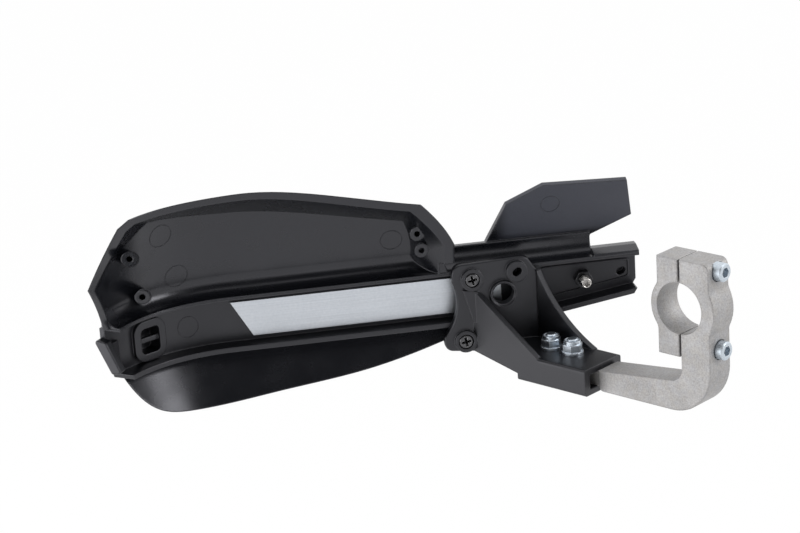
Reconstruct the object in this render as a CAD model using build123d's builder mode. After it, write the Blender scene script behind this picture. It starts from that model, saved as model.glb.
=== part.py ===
from build123d import *
import os
from math import cos, sin, sqrt, tan, radians

os.makedirs("parts", exist_ok=True)

# Left-hand guard of a motorcycle. The origin is the centre of the handlebar bore, X runs along the guard
# towards the middle of the bike, Y points forwards, away from the rider, and Z is up. Millimetres.

# Handlebar clamp
bar_diameter = 28.6
arm_angle = -52
clamp_width = 18
clamp_height = 54
clamp_gap = 1.0
cap_depth = 14
cap_wall = 4
leg_depth = 19.2
leg_wall = 7.9
clamp_corner = 4
bulge_blend = 6
tumbled_edge = 0.8
clamp_screw_edge = 5.5
clamp_screw_diameter = 6
clamp_head_diameter = 10
clamp_head_height = 6
clamp_hex_size = 5
clamp_hex_depth = 3
spot_face_depth = 1.5
screw_clearance = 0.2
thread_clearance = 0.05
tip_setback = 2
clamp_head_chamfer = 0.6

# Arm, seen square on: it runs back from the leg of the clamp to the socket
arm_drop = 58
arm_depth_at_leg = 17.6
arm_depth_at_socket = 11.7
shoulder_reach = 55.5
shoulder_round = 3
outer_bend = 26
inner_bend = 8
tongue_length = 46
tongue_width = 16.5
tongue_height = 8
tongue_lift = 0.8

# Bracket
socket_reach = 57
socket_wall = 3.5
socket_side_wall = 4.4
socket_depth = 47.5
socket_play = 6
socket_back_play = 0.3
socket_height_play = 0.2
plate_front = 95
plate_thickness = 4
gusset_thickness = 3.5
gusset_top_left = -11
gusset_top_right = -4
gusset_foot_left = 33
gusset_foot_right = 16
swoop_reach = 35.5
swoop_rise = 13.5
belly_rise = 4
plate_overlap = 1
arm_bolt_first = 80
arm_bolt_pitch = 15
arm_bolt_diameter = 6
bolt_head_size = 10
bolt_head_height = 4
nut_size = 10
nut_flange_diameter = 12
nut_flange_height = 1.4
nut_hex_height = 4.2
nut_collar_height = 2
nut_ring_height = 1.5
nut_collar_step = 0.4
nut_collar_wall = 0.7
nut_ring_setback = 0.3
bolt_end_proud = 0.8
drain_hole_diameter = 12
drain_hole_x = -80.4
drain_hole_z = -15.8
drain_hole_wall = 1.5
lug_diameter = 12
lug_height = 3
lug_hole_diameter = 4.2
lug_hole_length = 5.7
lug_x = -72.3
lug_z = -3.6
bracket_screw_diameter = 4.5
bracket_head_diameter = 7.8
bracket_head_height = 2.4
bracket_head_round = 0.9
cross_recess = 4.2
cross_width = 1.1
cross_depth = 1.4
cross_turn = 20
bracket_screw_length = 9
upper_screw_x = -97.4
upper_screw_z = -6.0
lower_screw_x = -102.7
lower_screw_z = -41.5
plate_left = -108.6
plate_right = -58.5
plate_top_left = 3
plate_top_right = 4.4
plate_shoulder = 8
ear_left = -114.5
ear_top = -38.5
ear_bottom = -46.5
ear_round = 5
waist_x = -106.6
waist_z = -21
waist_top = -7
plate_foot_x = -94
plate_foot_z = -49
plate_round = 6
plate_edge = 1
plate_play = 0.4
socket_edge = 1.6
screw_ring_wall = 2
screw_ring_height = 2
screw_ring_play = 0.4
rib_outline = [(-103, -11.5), (-95, -13), (-94.5, -31), (-97.5, -31)]
lug_hole_turn = 35
drain_step = 0.8
drain_step_depth = 1.2

# Spine: a channel open towards the rider, straight for most of its length and bent round the hand
channel_reach = 10
floor_thickness = 3
flange_thickness = 2.8
top_flange = 1.2
channel_top = -4.0
channel_bottom = -31.3
bend_start = -232
bend_radius = 85
bend_angle = 55
end_cut_length = 9
end_cut_height = 22
tail_start = -57
tail_end = -1
tail_bottom = -23
stud_x = -31.8
stud_z = -16.9
stud_diameter = 6
stud_head_diameter = 11
stud_head_height = 3
stud_length = 11
stud_hex = 3
stud_hex_depth = 2
stud_nut_size = 9
stud_nut_height = 4.5
slot_x = -9.5
slot_z = -15.5
slot_length = 5.5
slot_width = 4
slot_depth = 5
slot_wall = 1.6
slot_turn = 25
tail_cut = 5
screw_boss_diameter = 9
pocket_angle = 33
pocket_width = 21
pocket_height = 23
pocket_wall = 4.2
pocket_drop = 1.6
pocket_proud = 3
pocket_round = 7
pocket_depth = 6
pocket_floor = 1.5
pocket_pin = 2.6

# Reinforcing strip in the channel
strip_height = 20.5
strip_thickness = 2
strip_left = -231
strip_slant = 11.5
strip_right = -79
strip_play = 0.3
strip_lift = 2.8

# Clip on the outer end of the spine
clip_length = 5
clip_outline = [(-4.6, -7.6), (3.2, -9), (11.5, -26), (5.2, -26.8)]
clip_round = 1.5
clip_edge = 0.8
clip_tongue = 8
clip_tongue_height = 12
clip_tongue_thickness = 2.5
clip_play = 0.5

# Shields, cut to their outlines along the direction in which the mould opens
shield_wall = 3
draw_pitch = 18
draw_yaw = 5
outline_plane_y = 100
leaf_lean = 16
leaf_set = 1.5
leaf_level = 8
leaf_low = -45
leaf_high = 110
leaf_bend_angle = 80
rim_depth = 13.5
rim_bend_start = -225
rim_bend_radius = 114
rim_bend_angle = 60
leaf_side = 60
ledge_end = -27
ledge_front = 1.4
ledge_rise = 13.2
ledge_lip = 0.8
ledge_edge = 0.5
tail_flange = 3.6
boss_diameter = 8
boss_hole_diameter = 3.2
boss_proud = 8
boss_floor = 1.5
boss_places = [(-281.8, 25.4), (-277.8, 3.5), (-126, 22.1), (-123.9, 12.3)]
wing_lean = 20
wing_fold = 9
lobe_lean = 31
lobe_reach = 34
wing_left = [(-88, -3), (-85.3, 3.9), (-75.4, 26.8), (-54.7, 37.4)]
wing_right = [(-7.1, 35.2), (-3.3, 11.1), (-26.3, 0.1), (-27, -3)]
lobe_left = [(-300, -24), (-291, -43), (-272, -63), (-255, -65)]
lobe_right = [(-208, -60), (-159, -53.5), (-114, -42), (-60, -22)]

# Leaf's hollow on two upright planes, one on the rider's side and one beyond its floor: left end and tip,
# brow, right end. Its outside stands off from it by a wall that grows with the depth.
near_depth = 60
near_wall = 3
near_tip = [(-298.8, 0.9), (-301, 17.7), (-305.2, 29.8), (-293.3, 59.3)]
near_brow = [(-289.7, 62.2), (-261.9, 75.8), (-231.4, 84.4), (-178.4, 79), (-126, 67)]
near_end = [(-58, 39), (-76, -10)]
deep_depth = -30
deep_wall = 4.5
deep_tip = [(-296.9, -31.1), (-299.3, -13.1), (-303.6, 0), (-258, 33.1)]
deep_brow = [(-254.2, 37.6), (-241.5, 32.6), (-204.5, 22.5), (-170.2, 17.3), (-136.3, 12.7)]
deep_end = [(-153.4, -1.3), (-118, -40)]

# Worked out from the sizes above
bore_radius = bar_diameter / 2
clamp_top = clamp_height / 2
clamp_screw_spacing = clamp_height - 2 * clamp_screw_edge
arm_bottom = -arm_drop
arm_top_at_leg = arm_bottom + arm_depth_at_leg
arm_top_at_socket = arm_bottom + arm_depth_at_socket
tongue_middle = arm_bottom + arm_depth_at_socket / 2 + tongue_lift
plate_back = plate_front + plate_thickness
floor_y = plate_back + channel_reach
channel_middle = (channel_top + channel_bottom) / 2
channel_top_outer = channel_top + top_flange
channel_bottom_outer = channel_bottom - flange_thickness
screw_ring_inside = bracket_head_diameter / 2 + screw_ring_play
spot_face = leg_depth - spot_face_depth
leg_notch = sqrt((bore_radius + leg_wall) ** 2 - leg_depth**2)
cap_notch = sqrt((bore_radius + cap_wall) ** 2 - cap_depth**2)
cavity_near = -(tongue_width / 2 + socket_play)
cavity_far = tongue_width / 2 + socket_back_play
socket_near = cavity_near - socket_side_wall
socket_far = cavity_far + socket_side_wall
cavity_height = tongue_height + socket_height_play
socket_top = tongue_middle + cavity_height / 2 + socket_wall
socket_bottom = tongue_middle - cavity_height / 2 - socket_wall
arm_bolts = [-(arm_bolt_first + arm_bolt_pitch), -arm_bolt_first]

# Planes: the arm's own upright plane, its plan, the face across it, and the bracket's plate
arm_dir = Vector(cos(radians(arm_angle)), sin(radians(arm_angle)), 0)
bore_dir = Vector(arm_dir.Y, -arm_dir.X, 0)
arm_plane = Plane(origin=(0, 0, 0), x_dir=arm_dir, z_dir=bore_dir)
arm_plan = Plane(origin=(0, 0, 0), x_dir=arm_dir, z_dir=(0, 0, 1))
across_arm = Plane(origin=(0, 0, 0), x_dir=bore_dir * -1, z_dir=arm_dir)
plate_plane = Plane(origin=(0, plate_back, 0), x_dir=(1, 0, 0), z_dir=(0, -1, 0))
floor_plane = Plane(origin=(0, floor_y, 0), x_dir=(1, 0, 0), z_dir=(0, -1, 0))
outline_plane = Plane(origin=(0, outline_plane_y, 0), x_dir=(1, 0, 0), z_dir=(0, -1, 0))
section_plane = Plane(origin=(tail_start, floor_y, 0), x_dir=(0, 1, 0), z_dir=(1, 0, 0))
draw_dir = Vector(
    sin(radians(draw_yaw)) * cos(radians(draw_pitch)),
    cos(radians(draw_yaw)) * cos(radians(draw_pitch)),
    -sin(radians(draw_pitch)),
)


def plate_distance(across):
    """Distance along the arm at which the plate's front face is met, this far across from the bore."""
    return (plate_front - across * cos(radians(arm_angle))) / sin(radians(arm_angle))


def off_the_bore(edge):
    """True for each edge but the ends of the handlebar bore, which stay sharp."""
    return edge.geom_type != GeomType.CIRCLE or abs(edge.radius - bore_radius) > clamp_gap


def bend_plane(angle):
    """Plane on the channel floor in the outer bend, facing the rider."""
    turn = radians(angle)
    return Plane(
        origin=(bend_start - bend_radius * sin(turn), floor_y - bend_radius * (1 - cos(turn)), 0),
        x_dir=(cos(turn), sin(turn), 0),
        z_dir=(sin(turn), -cos(turn), 0),
    )


def channel_points(bottom, top):
    """Corners of the channel's section, from the inner faces of its two flanges."""
    return [
        (-channel_reach, bottom - flange_thickness),
        (floor_thickness, bottom - flange_thickness),
        (floor_thickness, top + top_flange),
        (-channel_reach, top + top_flange),
        (-channel_reach, top),
        (0, top),
        (0, bottom),
        (-channel_reach, bottom),
    ]


# Arm with the fixed half of the clamp: a J cut from plate, bored, spot-faced and drilled
with BuildPart() as clamp_arm:
    with BuildSketch(arm_plane):
        with BuildLine():
            Polyline(
                (clamp_gap / 2, clamp_top),
                (leg_depth, clamp_top),
                (leg_depth, arm_bottom),
                (-shoulder_reach, arm_bottom),
                (-shoulder_reach, arm_top_at_socket),
                (clamp_gap / 2, arm_top_at_leg),
                close=True,
            )
        make_face()
        fillet(vertices().sort_by_distance((leg_depth, clamp_top))[0], radius=clamp_corner)
        fillet(vertices().sort_by_distance((leg_depth, arm_bottom))[0], radius=outer_bend)
        fillet(vertices().sort_by_distance((-shoulder_reach, arm_bottom))[0], radius=shoulder_round)
        fillet(vertices().sort_by_distance((clamp_gap / 2, arm_top_at_leg))[0], radius=inner_bend)
        Circle(bore_radius + leg_wall)
        for side in (1, -1):
            notch = (leg_depth, side * leg_notch)
            fillet(vertices().sort_by_distance(notch)[0], radius=bulge_blend)
        with Locations((clamp_gap / 2, 0)):
            Rectangle(clamp_height, clamp_height, align=(Align.MAX, Align.CENTER), mode=Mode.SUBTRACT)
        Circle(bore_radius, mode=Mode.SUBTRACT)
    extrude(amount=clamp_width / 2, both=True)
    for side in (0, -1):
        cheek = faces().sort_by(Axis((0, 0, 0), bore_dir))[side]
        fillet(cheek.edges().filter_by(off_the_bore), radius=tumbled_edge)
    with BuildSketch(arm_plane):
        with Locations((-shoulder_reach, tongue_middle)):
            Rectangle(tongue_length, tongue_height, align=(Align.MAX, Align.CENTER))
    extrude(amount=tongue_width / 2, both=True)
    with BuildSketch(arm_plan.offset(tongue_middle)):
        with Locations(*[(reach, 0) for reach in arm_bolts]):
            Circle(arm_bolt_diameter / 2 + screw_clearance)
    extrude(amount=tongue_height, both=True, mode=Mode.SUBTRACT)
    with BuildSketch(across_arm.offset(spot_face)):
        with GridLocations(0, clamp_screw_spacing, 1, 2):
            Circle(clamp_head_diameter / 2 + 3 * screw_clearance)
    extrude(amount=leg_depth, mode=Mode.SUBTRACT)
    with BuildSketch(across_arm):
        with GridLocations(0, clamp_screw_spacing, 1, 2):
            Circle(clamp_screw_diameter / 2 + screw_clearance)
    extrude(amount=leg_depth, mode=Mode.SUBTRACT)
clamp_arm.part.label = "clamp_arm"
export_step(clamp_arm.part, "parts/clamp_arm.step")

# Loose half of the clamp, threaded for the two screws
with BuildPart() as clamp_cap:
    with BuildSketch(arm_plane):
        with Locations((-clamp_gap / 2, 0)):
            Rectangle(cap_depth - clamp_gap / 2, clamp_height, align=(Align.MAX, Align.CENTER))
        Circle(bore_radius + cap_wall)
        for side in (1, -1):
            notch = (-cap_depth, side * cap_notch)
            fillet(vertices().sort_by_distance(notch)[0], radius=bulge_blend)
        with Locations((-clamp_gap / 2, 0)):
            Rectangle(clamp_height, clamp_height, align=(Align.MIN, Align.CENTER), mode=Mode.SUBTRACT)
        Circle(bore_radius, mode=Mode.SUBTRACT)
    extrude(amount=clamp_width / 2, both=True)
    for side in (0, -1):
        cheek = faces().sort_by(Axis((0, 0, 0), bore_dir))[side]
        fillet(cheek.edges().filter_by(off_the_bore), radius=tumbled_edge)
    with BuildSketch(across_arm):
        with GridLocations(0, clamp_screw_spacing, 1, 2):
            Circle(clamp_screw_diameter / 2 + thread_clearance)
    extrude(amount=-2 * cap_depth, mode=Mode.SUBTRACT)
clamp_cap.part.label = "clamp_cap"
export_step(clamp_cap.part, "parts/clamp_cap.step")

# Socket head screws that close the clamp
for name, side in (("clamp_screw_upper", 1), ("clamp_screw_lower", -1)):
    screw_plane = Plane(
        origin=arm_dir * spot_face + Vector(0, 0, side * clamp_screw_spacing / 2),
        x_dir=bore_dir * -1,
        z_dir=arm_dir,
    )
    with BuildPart() as clamp_screw:
        with BuildSketch(screw_plane):
            Circle(clamp_head_diameter / 2)
        extrude(amount=clamp_head_height)
        chamfer(faces().sort_by(Axis((0, 0, 0), arm_dir))[-1].edges(), length=clamp_head_chamfer)
        with BuildSketch(screw_plane):
            Circle(clamp_screw_diameter / 2)
        extrude(amount=-(spot_face + cap_depth - tip_setback))
        with BuildSketch(screw_plane.offset(clamp_head_height)):
            RegularPolygon(clamp_hex_size / 2, 6, major_radius=False)
        extrude(amount=-clamp_hex_depth, mode=Mode.SUBTRACT)
    clamp_screw.part.label = name
    export_step(clamp_screw.part, f"parts/{name}.step")

# Bracket: plate on the spine, socket for the arm and two gussets between them
with BuildPart() as socket_block:
    with BuildSketch(arm_plan.offset(socket_bottom)):
        with BuildLine():
            Polyline(
                (-socket_reach, socket_near),
                (-socket_reach, socket_far),
                (plate_distance(socket_far) - plate_overlap, socket_far),
                (plate_distance(socket_near) - plate_overlap, socket_near),
                close=True,
            )
        make_face()
    extrude(amount=socket_top - socket_bottom)
    fillet(edges().filter_by(Axis((0, 0, 0), arm_dir)), radius=socket_edge)

with BuildPart() as mount_bracket:
    with BuildSketch(plate_plane):
        with BuildLine():
            edge = ThreePointArc((ear_left, ear_top), (waist_x, waist_z), (plate_left, waist_top))
            Polyline(
                edge @ 1,
                (plate_left, plate_top_left),
                (plate_right - plate_shoulder, plate_top_right),
                (plate_right, -plate_shoulder),
                (plate_right, socket_top),
                (plate_foot_x, plate_foot_z),
                (ear_left, ear_bottom),
                edge @ 0,
            )
        make_face()
        fillet(vertices().sort_by_distance((plate_left, plate_top_left))[0], radius=plate_round)
        shoulder = (plate_right - plate_shoulder, plate_top_right)
        fillet(vertices().sort_by_distance(shoulder)[0], radius=plate_round)
        fillet(vertices().sort_by_distance((ear_left, ear_bottom))[0], radius=ear_round)
    extrude(amount=plate_thickness)
    fillet(faces().sort_by(Axis.Y)[0].edges(), radius=plate_edge)
    add(socket_block.part)
    with BuildSketch(arm_plane):
        with BuildLine():
            Polyline(
                (-socket_reach - socket_depth, socket_bottom - plate_overlap),
                (-socket_reach - socket_depth, socket_bottom + belly_rise),
                (plate_distance(socket_near) - 2 * plate_overlap, socket_top - belly_rise),
                (plate_distance(socket_near) - 2 * plate_overlap, socket_bottom - plate_overlap),
                close=True,
            )
        make_face()
    extrude(amount=2 * channel_reach + socket_reach, both=True, mode=Mode.SUBTRACT)
    with BuildSketch(arm_plane.offset(-socket_near)):
        with BuildLine():
            Polyline(
                (plate_distance(socket_near) - plate_overlap, gusset_top_left),
                (-socket_reach - gusset_foot_left, socket_top),
                (-socket_reach - gusset_foot_left, socket_top - 2 * socket_edge),
                (plate_distance(socket_near) - plate_overlap, socket_top - 2 * socket_edge),
                close=True,
            )
        make_face()
    extrude(amount=-gusset_thickness)
    with BuildSketch(arm_plane.offset(-socket_far)):
        with BuildLine():
            swoop = ThreePointArc(
                (plate_distance(socket_far) - plate_overlap, gusset_top_right),
                (-socket_reach - swoop_reach, socket_top + swoop_rise),
                (-socket_reach - gusset_foot_right, socket_top),
            )
            Polyline(
                swoop @ 1,
                (-socket_reach - gusset_foot_right, socket_top - 2 * socket_edge),
                (plate_distance(socket_far) - plate_overlap, socket_top - 2 * socket_edge),
                swoop @ 0,
            )
        make_face()
    extrude(amount=gusset_thickness)
    with BuildSketch(plate_plane.offset(plate_thickness)):
        with Locations((lug_x, lug_z)):
            Circle(lug_diameter / 2)
        with Locations((drain_hole_x, drain_hole_z)):
            Circle(drain_hole_diameter / 2 + drain_hole_wall)
    extrude(amount=lug_height)
    screw_places = [(upper_screw_x, upper_screw_z), (lower_screw_x, lower_screw_z)]
    with BuildSketch(plate_plane.offset(plate_thickness)):
        with Locations(*screw_places):
            Circle(screw_ring_inside + screw_ring_wall)
        with BuildLine():
            Polyline(*rib_outline, close=True)
        make_face()
        with Locations(*screw_places):
            Circle(screw_ring_inside, mode=Mode.SUBTRACT)
    extrude(amount=screw_ring_height)
    with BuildSketch(plate_plane.offset(plate_thickness + lug_height)):
        with Locations((drain_hole_x, drain_hole_z)):
            Circle(drain_hole_diameter / 2 + drain_step)
    extrude(amount=-drain_step_depth, mode=Mode.SUBTRACT)
    with BuildSketch(plate_plane):
        with Locations((lug_x, lug_z)):
            SlotOverall(lug_hole_length, lug_hole_diameter, rotation=lug_hole_turn)
        with Locations((drain_hole_x, drain_hole_z)):
            Circle(drain_hole_diameter / 2)
        with Locations(*screw_places):
            Circle(bracket_screw_diameter / 2 + screw_clearance)
    extrude(amount=plate_thickness + lug_height, mode=Mode.SUBTRACT)
    with BuildSketch(across_arm.offset(-socket_reach)):
        with Locations((cavity_near, tongue_middle)):
            Rectangle(cavity_far - cavity_near, cavity_height, align=(Align.MIN, Align.CENTER))
    extrude(amount=-socket_depth, mode=Mode.SUBTRACT)
    with BuildSketch(arm_plan.offset(tongue_middle)):
        with Locations(*[(reach, 0) for reach in arm_bolts]):
            Circle(arm_bolt_diameter / 2 + screw_clearance)
    extrude(amount=socket_top - socket_bottom, both=True, mode=Mode.SUBTRACT)
mount_bracket.part.label = "mount_bracket"
export_step(mount_bracket.part, "parts/mount_bracket.step")

# Bolts through socket and tongue, with flanged lock nuts and their nylon rings on top
nut_collar = nut_size / 2 - nut_collar_step
nut_height = nut_flange_height + nut_hex_height + nut_collar_height
for place, reach in zip(("inner", "outer"), arm_bolts):
    bolt_centre = arm_dir * reach
    under_plane = Plane(origin=(bolt_centre.X, bolt_centre.Y, socket_bottom), x_dir=arm_dir, z_dir=(0, 0, -1))
    nut_plane = Plane(origin=(bolt_centre.X, bolt_centre.Y, socket_top), x_dir=arm_dir, z_dir=(0, 0, 1))
    with BuildPart() as arm_bolt:
        with BuildSketch(under_plane):
            RegularPolygon(bolt_head_size / 2, 6, major_radius=False)
        extrude(amount=bolt_head_height)
        with BuildSketch(under_plane):
            Circle(arm_bolt_diameter / 2)
        extrude(amount=-(socket_top - socket_bottom + nut_height + bolt_end_proud))
    arm_bolt.part.label = f"arm_bolt_{place}"
    export_step(arm_bolt.part, f"parts/arm_bolt_{place}.step")
    with BuildPart() as arm_nut:
        with BuildSketch(nut_plane):
            Circle(nut_flange_diameter / 2)
        extrude(amount=nut_flange_height)
        with BuildSketch(nut_plane.offset(nut_flange_height)):
            RegularPolygon(nut_size / 2, 6, major_radius=False)
        extrude(amount=nut_hex_height)
        with BuildSketch(nut_plane.offset(nut_flange_height + nut_hex_height)):
            Circle(nut_collar)
        extrude(amount=nut_collar_height)
        with BuildSketch(nut_plane):
            Circle(arm_bolt_diameter / 2 + thread_clearance)
        extrude(amount=nut_height, mode=Mode.SUBTRACT)
        with BuildSketch(nut_plane.offset(nut_height)):
            Circle(nut_collar - nut_collar_wall)
        extrude(amount=-nut_ring_height, mode=Mode.SUBTRACT)
    arm_nut.part.label = f"arm_nut_{place}"
    export_step(arm_nut.part, f"parts/arm_nut_{place}.step")
    with BuildPart() as nut_ring:
        with BuildSketch(nut_plane.offset(nut_height - nut_ring_height)):
            Circle(nut_collar - nut_collar_wall)
            Circle(arm_bolt_diameter / 2 + thread_clearance, mode=Mode.SUBTRACT)
        extrude(amount=nut_ring_height - nut_ring_setback)
    nut_ring.part.label = f"nut_ring_{place}"
    export_step(nut_ring.part, f"parts/nut_ring_{place}.step")

# Spine: channel swept round the hand, drawn in to a narrower tail past the bracket
with BuildPart() as spine:
    with BuildLine() as spine_path:
        straight = Line((tail_start, floor_y), (bend_start, floor_y))
        JernArc(straight @ 1, straight % 1, bend_radius, bend_angle)
    with BuildSketch(section_plane):
        with BuildLine():
            Polyline(*channel_points(channel_bottom, channel_top), close=True)
        make_face()
    sweep(path=spine_path.wire())
    with BuildSketch(section_plane):
        with BuildLine():
            Polyline(*channel_points(channel_bottom, channel_top), close=True)
        make_face()
    with BuildSketch(section_plane.offset(tail_end - tail_start)):
        with BuildLine():
            Polyline(*channel_points(tail_bottom, channel_top), close=True)
        make_face()
    loft(ruled=True)
    with BuildSketch(floor_plane):
        with Locations((upper_screw_x, upper_screw_z)):
            Circle(screw_boss_diameter / 2)
        with Locations((upper_screw_x, channel_top_outer)):
            Rectangle(screw_boss_diameter, channel_reach, align=(Align.CENTER, Align.MIN), mode=Mode.SUBTRACT)
    extrude(amount=channel_reach)
    with BuildSketch(floor_plane.offset(channel_reach)):
        with Locations((upper_screw_x, upper_screw_z)):
            Circle(bracket_screw_diameter / 2 + thread_clearance)
    extrude(amount=-(channel_reach + floor_thickness), mode=Mode.SUBTRACT)
    with BuildSketch(floor_plane.offset(channel_reach)):
        with Locations((stud_x, stud_z)):
            Circle(stud_diameter / 2 + thread_clearance)
    extrude(amount=-2 * channel_reach, mode=Mode.SUBTRACT)
    with BuildSketch(floor_plane.offset(-floor_thickness)):
        with Locations((slot_x, slot_z)):
            SlotOverall(slot_length + 2 * slot_wall, slot_width + 2 * slot_wall, rotation=slot_turn)
    extrude(amount=-slot_depth + floor_thickness - slot_wall)
    with BuildSketch(floor_plane):
        with Locations((slot_x, slot_z)):
            SlotOverall(slot_length, slot_width, rotation=slot_turn)
    extrude(amount=-slot_depth, mode=Mode.SUBTRACT)
    with BuildSketch(floor_plane):
        with BuildLine():
            Polyline(
                (tail_end - tail_cut, tail_bottom - 2 * flange_thickness),
                (tail_end + tail_cut, tail_bottom - 2 * flange_thickness),
                (tail_end + tail_cut, tail_bottom - flange_thickness + tail_cut),
                (tail_end, tail_bottom - flange_thickness + tail_cut),
                close=True,
            )
        make_face()
    extrude(amount=2 * channel_reach, both=True, mode=Mode.SUBTRACT)
    pocket_plane = bend_plane(pocket_angle)
    with BuildSketch(pocket_plane.offset(-pocket_depth - pocket_floor)):
        with Locations((0, channel_middle - pocket_drop)):
            RectangleRounded(pocket_width, pocket_height, pocket_round)
    extrude(amount=pocket_depth + pocket_floor + pocket_proud)
    with BuildSketch(pocket_plane.offset(pocket_proud)):
        with Locations((0, channel_middle - pocket_drop)):
            RectangleRounded(
                pocket_width - 2 * pocket_wall,
                pocket_height - 2 * pocket_wall,
                pocket_round - pocket_wall,
            )
    extrude(amount=-pocket_proud - pocket_depth, mode=Mode.SUBTRACT)
    with BuildSketch(pocket_plane.offset(-floor_thickness / 2)):
        with Locations((0, channel_middle - pocket_drop)):
            Rectangle(pocket_width - pocket_wall, pocket_pin)
    extrude(amount=pocket_pin)
    with BuildSketch(bend_plane(bend_angle)):
        with BuildLine():
            Polyline(
                (-end_cut_length, channel_bottom_outer + end_cut_height),
                (0, channel_bottom_outer + end_cut_height),
                (end_cut_length, channel_bottom_outer),
                (end_cut_length, channel_bottom_outer - end_cut_length),
                (-end_cut_length, channel_bottom_outer - end_cut_length),
                close=True,
            )
        make_face()
    extrude(amount=2 * channel_reach, both=True, mode=Mode.SUBTRACT)
spine.part.label = "spine"
export_step(spine.part, "parts/spine.step")

# Reinforcing strip on the channel floor, relieved round the screw boss
strip_low = channel_bottom + strip_lift
with BuildPart() as reinforcing_strip:
    with BuildSketch(floor_plane):
        with BuildLine():
            Polyline(
                (strip_left, strip_low + strip_height),
                (strip_left + strip_slant, strip_low),
                (strip_right, strip_low),
                (strip_right, strip_low + strip_height),
                close=True,
            )
        make_face()
        with Locations((upper_screw_x, upper_screw_z)):
            Circle(screw_boss_diameter / 2 + strip_play, mode=Mode.SUBTRACT)
    extrude(amount=strip_thickness)
reinforcing_strip.part.label = "reinforcing_strip"
export_step(reinforcing_strip.part, "parts/reinforcing_strip.step")

# Stud through the tail, with its head on the front and a nut on the rider's side
with BuildPart() as spine_stud:
    with BuildSketch(floor_plane.offset(-floor_thickness)):
        with Locations((stud_x, stud_z)):
            Circle(stud_head_diameter / 2)
    extrude(amount=-stud_head_height)
    with BuildSketch(floor_plane.offset(-floor_thickness)):
        with Locations((stud_x, stud_z)):
            Circle(stud_diameter / 2)
    extrude(amount=floor_thickness + stud_length)
    with BuildSketch(floor_plane.offset(stud_length)):
        with Locations((stud_x, stud_z)):
            RegularPolygon(stud_hex / 2, 6, major_radius=False)
    extrude(amount=-stud_hex_depth, mode=Mode.SUBTRACT)
spine_stud.part.label = "spine_stud"
export_step(spine_stud.part, "parts/spine_stud.step")

with BuildPart() as stud_nut:
    with BuildSketch(floor_plane):
        with Locations((stud_x, stud_z)):
            RegularPolygon(stud_nut_size / 2, 6, major_radius=False)
            Circle(stud_diameter / 2 + thread_clearance, mode=Mode.SUBTRACT)
    extrude(amount=stud_nut_height)
stud_nut.part.label = "stud_nut"
export_step(stud_nut.part, "parts/stud_nut.step")

# Clip: a small leaning block on the end of the channel with a tongue that lies on its floor
with BuildPart() as end_clip:
    end_plane = Plane(
        origin=bend_plane(bend_angle).origin,
        x_dir=bend_plane(bend_angle).z_dir,
        z_dir=bend_plane(bend_angle).x_dir * -1,
    )
    with BuildSketch(end_plane):
        with BuildLine():
            Polyline(*clip_outline, close=True)
        make_face()
        fillet(vertices(), radius=clip_round)
    extrude(amount=clip_length)
    fillet(faces().sort_by(Axis((0, 0, 0), end_plane.z_dir))[-1].edges(), radius=clip_edge)
    with BuildSketch(end_plane):
        with Locations((clip_play, channel_middle)):
            Rectangle(clip_tongue_thickness, clip_tongue_height, align=(Align.MIN, Align.CENTER))
    extrude(amount=-clip_tongue)
end_clip.part.label = "end_clip"
export_step(end_clip.part, "parts/end_clip.step")

# Cross-recess screws that hold the bracket: one in the spine, one in the lower shield
for name, x, z in (
    ("bracket_screw_upper", upper_screw_x, upper_screw_z),
    ("bracket_screw_lower", lower_screw_x, lower_screw_z),
):
    with BuildPart() as bracket_screw:
        with BuildSketch(plate_plane.offset(plate_thickness)):
            with Locations((x, z)):
                Circle(bracket_head_diameter / 2)
        extrude(amount=bracket_head_height)
        fillet(faces().sort_by(Axis.Y)[0].edges(), radius=bracket_head_round)
        with BuildSketch(plate_plane.offset(plate_thickness)):
            with Locations((x, z)):
                Circle(bracket_screw_diameter / 2)
        extrude(amount=-(plate_thickness + bracket_screw_length))
        with BuildSketch(plate_plane.offset(plate_thickness + bracket_head_height)):
            with Locations(Location((x, z), cross_turn)):
                Rectangle(cross_recess, cross_width)
                Rectangle(cross_width, cross_recess)
        extrude(amount=-cross_depth, mode=Mode.SUBTRACT)
    bracket_screw.part.label = name
    export_step(bracket_screw.part, f"parts/{name}.step")

# Lower shield: a leaning wall that follows the spine, cut to its lobe outline, with a boss for the bracket
lobe_foot = lobe_reach * sin(radians(lobe_lean)) / cos(radians(lobe_lean))
with BuildPart() as lower_shield:
    with BuildLine() as lobe_path:
        straight = Line((tail_start, floor_y), (bend_start, floor_y))
        JernArc(straight @ 1, straight % 1, bend_radius, bend_angle)
    with BuildSketch(section_plane):
        with BuildLine():
            Polyline(
                (0, channel_bottom_outer),
                (shield_wall, channel_bottom_outer),
                (shield_wall - lobe_foot, channel_bottom_outer - lobe_reach),
                (-lobe_foot, channel_bottom_outer - lobe_reach),
                close=True,
            )
        make_face()
    sweep(path=lobe_path.wire())
    with BuildSketch(outline_plane):
        with BuildLine():
            edge = Spline(*lobe_left, *lobe_right)
            Polyline(edge @ 1, (lobe_right[-1][0], lobe_reach), (lobe_left[0][0], lobe_reach), edge @ 0)
        make_face()
    extrude(amount=4 * lobe_reach, dir=draw_dir, both=True, mode=Mode.INTERSECT)
    with BuildSketch(plate_plane):
        with Locations((lower_screw_x, lower_screw_z)):
            Circle(screw_boss_diameter / 2)
    extrude(amount=-channel_reach)
    with BuildSketch(plate_plane):
        with Locations((lower_screw_x, lower_screw_z)):
            Circle(bracket_screw_diameter / 2 + thread_clearance)
    extrude(amount=-3 * channel_reach, mode=Mode.SUBTRACT)
lower_shield.part.label = "lower_shield"
export_step(lower_shield.part, "parts/lower_shield.step")

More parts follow.
